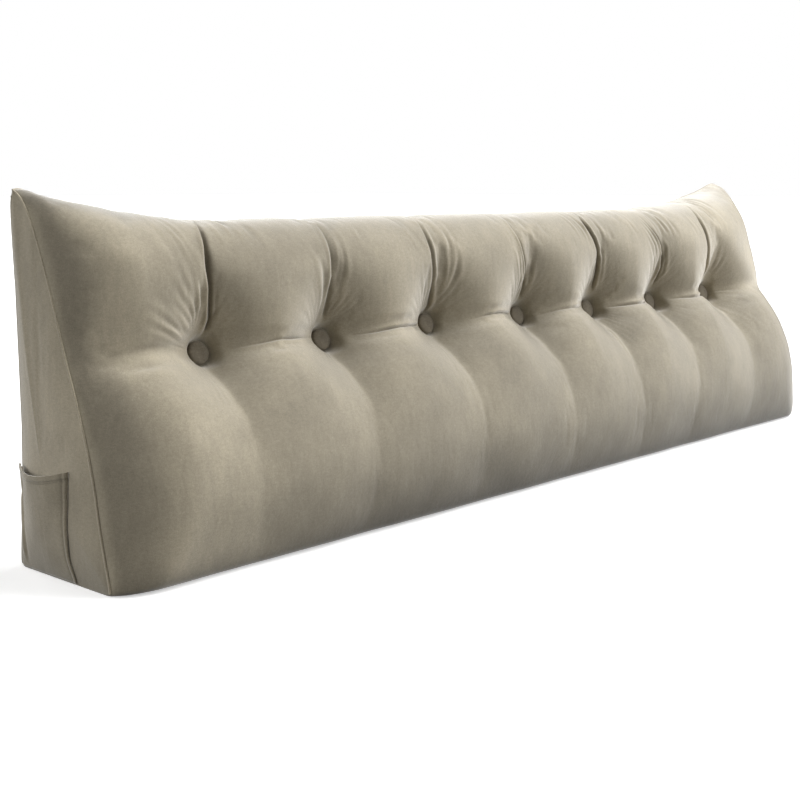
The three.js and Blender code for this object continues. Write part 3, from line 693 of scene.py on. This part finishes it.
COVER = (0.374, 0.328, 0.240)
cover_velvet = velvet("cover velvet", COVER, painted_shading="painted_shading")
button_velvet = velvet("button velvet", (0.152, 0.130, 0.094), grain=1.4, sheen=0.15)
pocket_velvet = velvet("pocket velvet", tuple(1.0 * c for c in COVER), painted_shading="painted_shading")
# a lighter copy of the cover velvet: painted highlight along the seam ribs
seam_velvet_painted_highlight = velvet("seam velvet", tuple(1.2 * c for c in COVER), sheen=1.0)
thread = velvet("thread", tuple(0.9 * c for c in COVER), grain=0.6, sheen=0.2, roughness=0.6)

# ---- Cushion ----
xs, ts, skin, front_painted_shading = build_front()
outline = build_outline(xs, skin)
verts, quads, tris = build_cushion(outline)
# the cover's colour is multiplied by this painted light and shade, one value for each vertex
painted_shading = np.ones(len(verts))
painted_shading[: outline.shape[0] * outline.shape[1]].reshape(outline.shape[:2])[:, : len(ts)] = front_painted_shading
ends = slice(outline.shape[0] * outline.shape[1], None)
# the end panels: painted shade towards the foot and painted light across the middle
painted_shading[ends] = mix(0.72, 1.0, smooth(0, 75, verts[ends, 2])) + 0.2 * np.exp(-(((verts[ends, 2] - 230) / 105) ** 2))
quads, tris = outwards(verts, quads, tris)
cushion = mesh_object("cushion_cover", place(verts), quads, tris)
cushion.data.attributes.new("painted_shading", "FLOAT", "POINT").data.foreach_set("value", painted_shading.astype(np.float32))
cushion.data.materials.append(cover_velvet)
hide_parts("cushion")
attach(cushion, "root")


# ---- Buttons ----
def build_button(name, at, seed):
    r = np.random.default_rng(seed)
    profile = np.array([
        (0.001, 9.3), (0.2, 9.28), (0.42, 9.2), (0.6, 9.0), (0.74, 8.65), (0.85, 8.05), (0.925, 7.2), (0.972, 6.1), (0.995, 4.9),
        (1.0, 3.7), (0.985, 2.4), (0.95, 1.3), (0.89, 0.5), (0.8, 0.12), (0.5, 0.0), (0.001, 0.0),
    ])
    s = np.linspace(0, len(profile) - 1, 46)
    prof = catmull(profile, s)
    seg = 96
    a = np.arange(seg) / seg * math.tau
    tug = sum(r.uniform(0.3, 1.0) * np.cos(k * a + r.uniform(0, math.tau)) for k in (9, 14, 19, 23)) / 2
    side = np.exp(-(((prof[:, 1] - 3.2) / 2.6) ** 2))
    rad = BUTTON_R * prof[:, :1] + side[:, None] * 0.22 * tug[None, :]
    sag = 0.18 * np.sin(a + r.uniform(0, 6)) [None, :] * prof[:, :1]
    h = prof[:, 1:2] + np.where(prof[:, 1:2] > 5, sag, 0)
    n = BUTTON_N
    u = np.array([1.0, 0, 0])
    v = np.cross(n, u)
    pts = (
        np.array([at[0], at[1], at[2]])
        + rad[..., None] * (np.cos(a)[None, :, None] * u + np.sin(a)[None, :, None] * v)
        + h[..., None] * n
    )
    m = len(prof)
    verts = np.concatenate([pts[1:-1].reshape(-1, 3), pts[:1].mean(1), pts[-1:].mean(1)])
    idx = np.arange((m - 2) * seg).reshape(m - 2, seg)
    nxt = np.roll(idx, -1, axis=1)
    quads = np.stack([idx[:-1], idx[1:], nxt[1:], nxt[:-1]], -1).reshape(-1, 4)
    top, bottom = (m - 2) * seg, (m - 2) * seg + 1
    tris = np.concatenate([
        np.stack([idx[0], nxt[0], np.full(seg, top)], -1),
        np.stack([nxt[-1], idx[-1], np.full(seg, bottom)], -1),
    ])
    quads, tris = outwards(verts - np.array(at), quads, tris)
    ob = mesh_object(name, place(verts), quads, tris)
    ob.data.materials.append(button_velvet)
    return ob


for k, (bx, bz) in enumerate(zip(BUTTON_X, BUTTON_Z)):
    b = build_button(f"button_cover_{k + 1}", (bx, SEAT_Y, bz), 40 + k)
    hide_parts(f"button_{k + 1}")
    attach(b, "root")


# ---- Seams: the two panels' edges, turned in and stitched, stand up as a narrow rib ----
def sweep(path, normal, width, height, sink, sides=10):
    """A closed rib along path: width across and height out of the cloth, both one number for each point."""
    tangent = np.gradient(path, axis=0)
    tangent /= np.linalg.norm(tangent, axis=1, keepdims=True)
    normal = normal - (normal * tangent).sum(1, keepdims=True) * tangent
    normal /= np.linalg.norm(normal, axis=1, keepdims=True)
    across = np.cross(tangent, normal)
    a = np.arange(sides) / sides * math.tau
    ring = (
        path[:, None]
        + across[:, None] * (np.cos(a)[None, :, None] * np.asarray(width)[:, None, None] / 2)
        + normal[:, None] * (np.sin(a)[None, :, None] * np.asarray(height)[:, None, None] - np.asarray(sink)[:, None, None])
    )
    n = len(path)
    verts = np.concatenate([ring.reshape(-1, 3), path[:1], path[-1:]])
    idx = np.arange(n * sides).reshape(n, sides)
    nxt = np.roll(idx, -1, axis=1)
    quads = np.stack([idx[:-1], idx[1:], nxt[1:], nxt[:-1]], -1).reshape(-1, 4)
    tris = np.concatenate([
        np.stack([nxt[0], idx[0], np.full(sides, n * sides)], -1),
        np.stack([idx[-1], nxt[-1], np.full(sides, n * sides + 1)], -1),
    ])
    return verts, quads, tris


def resample(path, step):
    run = np.concatenate([[0], np.cumsum(np.linalg.norm(np.diff(path, axis=0), axis=1))])
    n = max(2, int(run[-1] / step))
    s = np.linspace(0, run[-1], n)
    return np.stack([np.interp(s, run, path[:, k]) for k in range(3)], 1), s / run[-1]


def add_rib(name, path, normal, width, height, sink):
    v, q, f = sweep(path, normal, width, height, sink)
    v[:, 2] = np.maximum(v[:, 2], 0.05)
    q, f = outwards(v - path.mean(0), q, f)
    rib = mesh_object(name, place(v), q, f)
    rib.data.materials.append(seam_velvet_painted_highlight)
    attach(rib, "root")


for side_name, row, sgn in (("left", 0, -1), ("right", len(xs) - 1, 1)):
    # the front edge of the end panel: flat near the ear, standing up below
    path, s = resample(skin[row][skin[row][:, 2] > 2.4], 3.0)
    one = np.ones(len(path))
    nrm = np.stack([sgn * 0.8 * one, -0.6 * one, 0.12 * one], 1)
    low = 1 - smooth(0.25, 0.8, s)
    w = mix(3.2, 4.0, low) * (1 - 0.5 * smooth(0.97, 1.0, s))
    add_rib(f"seam_{side_name}", path, nrm, w, mix(1.5, 2.7, low), 0.3 * one)
    # its back edge
    behind = outline[row][len(ts):]
    behind = behind[behind[:, 2] > 2.4][behind[behind[:, 2] > 2.4][:, 1] > 85]
    path, s = resample(behind, 4.0)
    one = np.ones(len(path))
    add_rib(f"back_seam_{side_name}", path, np.stack([sgn * 0.7 * one, 0.7 * one, 0 * one], 1), 1.9 * one, 0.8 * one, 0.3 * one)

path, s = resample(skin[:, -1], 5.0)
one = np.ones(len(path))
add_rib("top_seam", path, np.stack([0 * one, 0.75 * one, 0.65 * one], 1), 2.6 * one, 1.3 * one, 0.3 * one)


# ---- Side pocket ----
POCKET = dict(front=-22.0, back=92.0, bottom=3.0, corner=147.0, back_corner=142.0, dip=8.0, slack=15.0, gap=0.5, cloth=1.2, hem=10.0, hem_cloth=2.4)


def end_face(y, z):
    """How far out the left end panel lies at y, z."""
    edge = outline[0]
    ang = np.arctan2(edge[:, 2] - END_Z, edge[:, 1] - END_Y)
    order = np.argsort(ang)
    ang, e = ang[order], edge[order]
    rad = np.hypot(e[:, 1] - END_Y, e[:, 2] - END_Z)
    ang = np.concatenate([ang - math.tau, ang, ang + math.tau])
    rad, ex = np.tile(rad, 3), np.tile(np.abs(e[:, 0]), 3)
    a = np.arctan2(z - END_Z, y - END_Y)
    r = np.hypot(z - END_Z, y - END_Y)
    ring = np.clip(1 - r / np.interp(a, ang, rad), 0, 1)
    return mix(np.interp(a, ang, ex), END_X, ring) + END_CROWN * (1 - (1 - ring) ** 3) + end_sway(y, z, ring)


def build_pocket():
    P = POCKET
    u = np.concatenate([np.linspace(0, 0.06, 7), np.linspace(0.06, 0.94, 53)[1:-1], np.linspace(0.94, 1, 7)])
    w = np.concatenate([np.linspace(0, 0.9, 60)[:-1], np.linspace(0.9, 1.0, 17)])
    U, W = np.meshgrid(u, w, indexing="ij")
    mouth = mix(P["corner"], P["back_corner"], U) - P["dip"] * np.sin(math.pi * U)
    z = mix(P["bottom"], mouth, W)
    # the front edge runs a little askew and turns forward at the foot
    skew = 2.5 * smooth(1.0, 0.3, W) - 11.0 * (1 - smooth(0.0, 0.25, W))
    y = mix(P["front"] + skew, P["back"], U)
    lift = P["gap"] + P["slack"] * np.maximum(np.sin(math.pi * U), 0) ** (0.6 + 0.9 * U * U) * W**0.75
    below = mouth - z
    thick = P["cloth"] + (P["hem_cloth"] - P["cloth"]) * (1 - smooth(P["hem"] - 0.8, P["hem"] + 0.2, below))
    stitch = np.exp(-(((below - P["hem"] + 1.8) / 0.9) ** 2))
    thick = thick - 0.9 * stitch
    thick = thick + 0.6 * np.exp(-(((U - 0.02) / 0.012) ** 2)) * (W > 0)
    thick = thick - 0.5 * np.exp(-(((U - 0.05) / 0.012) ** 2))
    face = end_face(y, z)
    fold = 1.6 * np.exp(-(((U - 0.93) / 0.03) ** 2)) - 1.2 * np.exp(-(((U - 0.87) / 0.03) ** 2))
    fold = fold * smooth(0.02, 0.2, W) * (1 - 0.5 * smooth(0.8, 1, W))
    inner = np.stack([-(face + np.maximum(lift + fold, P["gap"])), y, z], -1)
    outer = inner - np.stack([thick, 0 * thick, 0 * thick], -1)
    n, m = U.shape
    pts = np.concatenate([inner.reshape(-1, 3), outer.reshape(-1, 3)])
    i0 = np.arange(n * m).reshape(n, m)
    o0 = i0 + n * m
    cell = lambda g: np.stack([g[:-1, :-1], g[1:, :-1], g[1:, 1:], g[:-1, 1:]], -1).reshape(-1, 4)
    quads = [cell(o0), cell(i0)[:, ::-1]]
    for a, b, flip in ((i0[:, 0], o0[:, 0], False), (i0[:, -1], o0[:, -1], True), (i0[0], o0[0], True), (i0[-1], o0[-1], False)):
        q = np.stack([a[:-1], a[1:], b[1:], b[:-1]], -1)
        quads.append(q[:, ::-1] if flip else q)
    quads = np.concatenate(quads)
    # painted shade towards the foot, in the hem's stitch groove and in the groove beside the front edge; painted
    # highlight on the front edge's ridge
    painted_light_shade = mix(0.74, 1.0, smooth(0, 70, z)) * (1 - 0.22 * stitch) * (1 - 0.25 * np.exp(-(((U - 0.05) / 0.012) ** 2)))
    painted_light_shade = painted_light_shade * (1 + 0.12 * np.exp(-(((U - 0.02) / 0.012) ** 2)))
    return pts, quads, np.concatenate([painted_light_shade.ravel(), painted_light_shade.ravel()])


pv, pq, pocket_painted_shading = build_pocket()
pq, _ = outwards(pv - pv.mean(0), pq)
pocket = mesh_object("pocket_cloth", place(pv), pq)
pocket.data.attributes.new("painted_shading", "FLOAT", "POINT").data.foreach_set("value", pocket_painted_shading.astype(np.float32))
pocket.data.materials.append(pocket_velvet)
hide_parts("side_pocket")
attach(pocket, "root")


# ---- Floor, light and camera ----
floor = mesh_object("floor", np.array([(-40, -40, 0), (40, -40, 0), (40, 40, 0), (-40, 40, 0)], float), np.array([(0, 1, 2, 3)]), smooth_shade=False)
pale = plain("pale floor", (0.86, 0.86, 0.86), 0.9)
pale.node_tree.nodes["Principled BSDF"].inputs["Emission Color"].default_value = (1, 1, 1, 1)
pale.node_tree.nodes["Principled BSDF"].inputs["Emission Strength"].default_value = 0.45
floor.data.materials.append(pale)
floor.visible_diffuse = False
floor.visible_glossy = False

# a white backdrop for the camera and a little light from all round for everything else
world = bpy.data.worlds.new("studio")
bpy.context.scene.world = world
world.use_nodes = True
nodes, links = world.node_tree.nodes, world.node_tree.links
around = nodes["Background"]
around.inputs["Color"].default_value = (1, 1, 1, 1)
around.inputs["Strength"].default_value = 0.04
backdrop = nodes.new("ShaderNodeBackground")
backdrop.inputs["Color"].default_value = (1, 1, 1, 1)
backdrop.inputs["Strength"].default_value = 1.0
path = nodes.new("ShaderNodeLightPath")
either = nodes.new("ShaderNodeMixShader")
links.new(path.outputs["Is Camera Ray"], either.inputs[0])
links.new(around.outputs[0], either.inputs[1])
links.new(backdrop.outputs[0], either.inputs[2])
links.new(either.outputs[0], nodes["World Output"].inputs["Surface"])

yaw, pitch = math.radians(47.35), math.radians(9.35)
BACK, RIGHT = Vector((-math.sin(yaw), -math.cos(yaw), 0)), Vector((math.cos(yaw), -math.sin(yaw), 0))

# Large soft lights, each as degrees round from behind the camera towards the right, degrees up, and strength.
LIGHTS = [
    ("key", 120, 50, 1.00),
    ("right_low", 80, 10, 0.49),
    ("front", 30, 30, 0.10),
    ("left_fill", -60, 20, 0.39),
    ("left_side", -85, 15, 0.05),
    ("left_back", -110, 35, 0.20),
    ("behind", -133, 15, 0.35),
]
GAIN = 1.03
for name, round_, up_, strength in LIGHTS:
    a, e = math.radians(round_), math.radians(up_)
    to = (BACK * math.cos(a) + RIGHT * math.sin(a)) * math.cos(e) + Vector((0, 0, math.sin(e)))
    sun = bpy.data.lights.new(name, "SUN")
    sun.energy = math.pi * strength * GAIN
    sun.angle = math.radians(35)
    ob = bpy.data.objects.new(name, sun)
    ob.rotation_euler = (-to).to_track_quat("-Z", "Y").to_euler()
    bpy.context.scene.collection.objects.link(ob)

# two soft boxes near the far end
for name, at, power in (("box_right", (1.9, -1.0, 1.0), 13.8), ("box_behind", (2.3, 0.3, 1.2), 4.8)):
    light = bpy.data.lights.new(name, "AREA")
    light.size = 1.0
    light.energy = power * GAIN
    ob = bpy.data.objects.new(name, light)
    ob.location = at
    ob.rotation_euler = (Vector((0.7, -0.1, 0.25)) - Vector(at)).to_track_quat("-Z", "Y").to_euler()
    ob.visible_camera = False
    bpy.context.scene.collection.objects.link(ob)

look = Vector((math.sin(yaw) * math.cos(pitch), math.cos(yaw) * math.cos(pitch), -math.sin(pitch)))
right = Vector((math.cos(yaw), -math.sin(yaw), 0))
up = right.cross(look)
data = bpy.data.cameras.new("camera")
data.lens, data.sensor_width = 59.4, 36
camera = bpy.data.objects.new("camera", data)
camera.matrix_world = Matrix((
    (right.x, up.x, -look.x, -1.806),
    (right.y, up.y, -look.y, -1.406),
    (right.z, up.z, -look.z, 0.507),
    (0, 0, 0, 1),
))
bpy.context.scene.collection.objects.link(camera)
bpy.context.scene.camera = camera
bpy.context.scene.view_settings.view_transform = "Standard"
